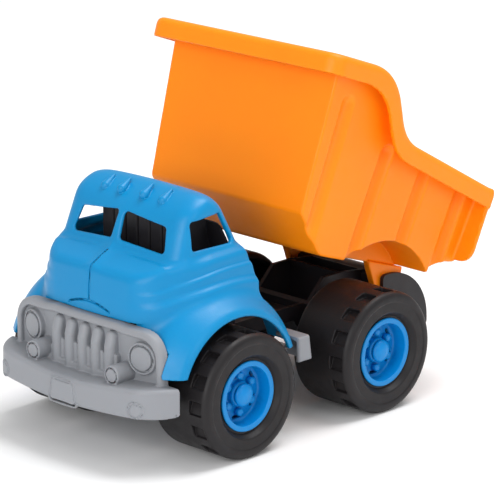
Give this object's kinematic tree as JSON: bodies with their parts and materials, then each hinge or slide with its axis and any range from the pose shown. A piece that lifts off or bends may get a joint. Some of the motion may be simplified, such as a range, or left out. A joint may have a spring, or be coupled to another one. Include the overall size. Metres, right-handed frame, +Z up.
{
  "type": "toy dump truck",
  "caption": "Toy dump truck of thick moulded plastic: blue cab over a black chassis, grey grille and bumper, orange tipping bed and big free-rolling black wheels on blue hubs.",
  "frame": {"origin": "on the floor under the middle of the truck's box, with the bed half tipped", "axes": "+Z up, the truck drives towards -Y, its left side is +X"},
  "size_m": [0.163, 0.2846, 0.2203],
  "materials": {
    "cab_blue": "satin moulded",
    "hub_blue": "satin moulded",
    "bed_orange": "satin moulded, fine grain",
    "trim_grey": "satin moulded",
    "chassis_black": "satin moulded",
    "tyre_black": "satin moulded"
  },
  "bodies": {
    "root": {"chassis": "chassis_black", "cab_shell": "cab_blue", "cab_back_box": "chassis_black", "front_clip": "trim_grey", "body_plugs": "chassis_black", "bed_hinge_pin_left": "chassis_black", "bed_hinge_pin_right": "chassis_black", "axle_front": "chassis_black", "axle_rear": "chassis_black", "axle_cap_front_left": "hub_blue", "axle_cap_front_right": "hub_blue", "axle_cap_rear_left": "hub_blue", "axle_cap_rear_right": "hub_blue"},
    "bed": {"dump_bed": "bed_orange"},
    "wheel_front_left": {"tyre_front_left": "tyre_black", "hub_front_left": "hub_blue"},
    "wheel_front_right": {"tyre_front_right": "tyre_black", "hub_front_right": "hub_blue"},
    "wheel_rear_left": {"tyre_rear_left": "tyre_black", "hub_rear_left": "hub_blue"},
    "wheel_rear_right": {"tyre_rear_right": "tyre_black", "hub_rear_right": "hub_blue"}
  },
  "joints": [
    {"name": "bed_tip", "type": "hinge", "parent": "root", "child": "bed", "pos_m": [0, 0.0891, 0.048], "axis": [-1, 0, 0], "range_deg": [-18.5, 26.5]},
    {"name": "spin_front_left", "type": "hinge", "parent": "root", "child": "wheel_front_left", "pos_m": [0.06, -0.0719, 0.0367], "axis": [1, 0, 0], "continuous": true},
    {"name": "spin_front_right", "type": "hinge", "parent": "root", "child": "wheel_front_right", "pos_m": [-0.06, -0.0719, 0.0367], "axis": [1, 0, 0], "continuous": true},
    {"name": "spin_rear_left", "type": "hinge", "parent": "root", "child": "wheel_rear_left", "pos_m": [0.06, 0.0421, 0.0367], "axis": [1, 0, 0], "continuous": true},
    {"name": "spin_rear_right", "type": "hinge", "parent": "root", "child": "wheel_rear_right", "pos_m": [-0.06, 0.0421, 0.0367], "axis": [1, 0, 0], "continuous": true}
  ]
}
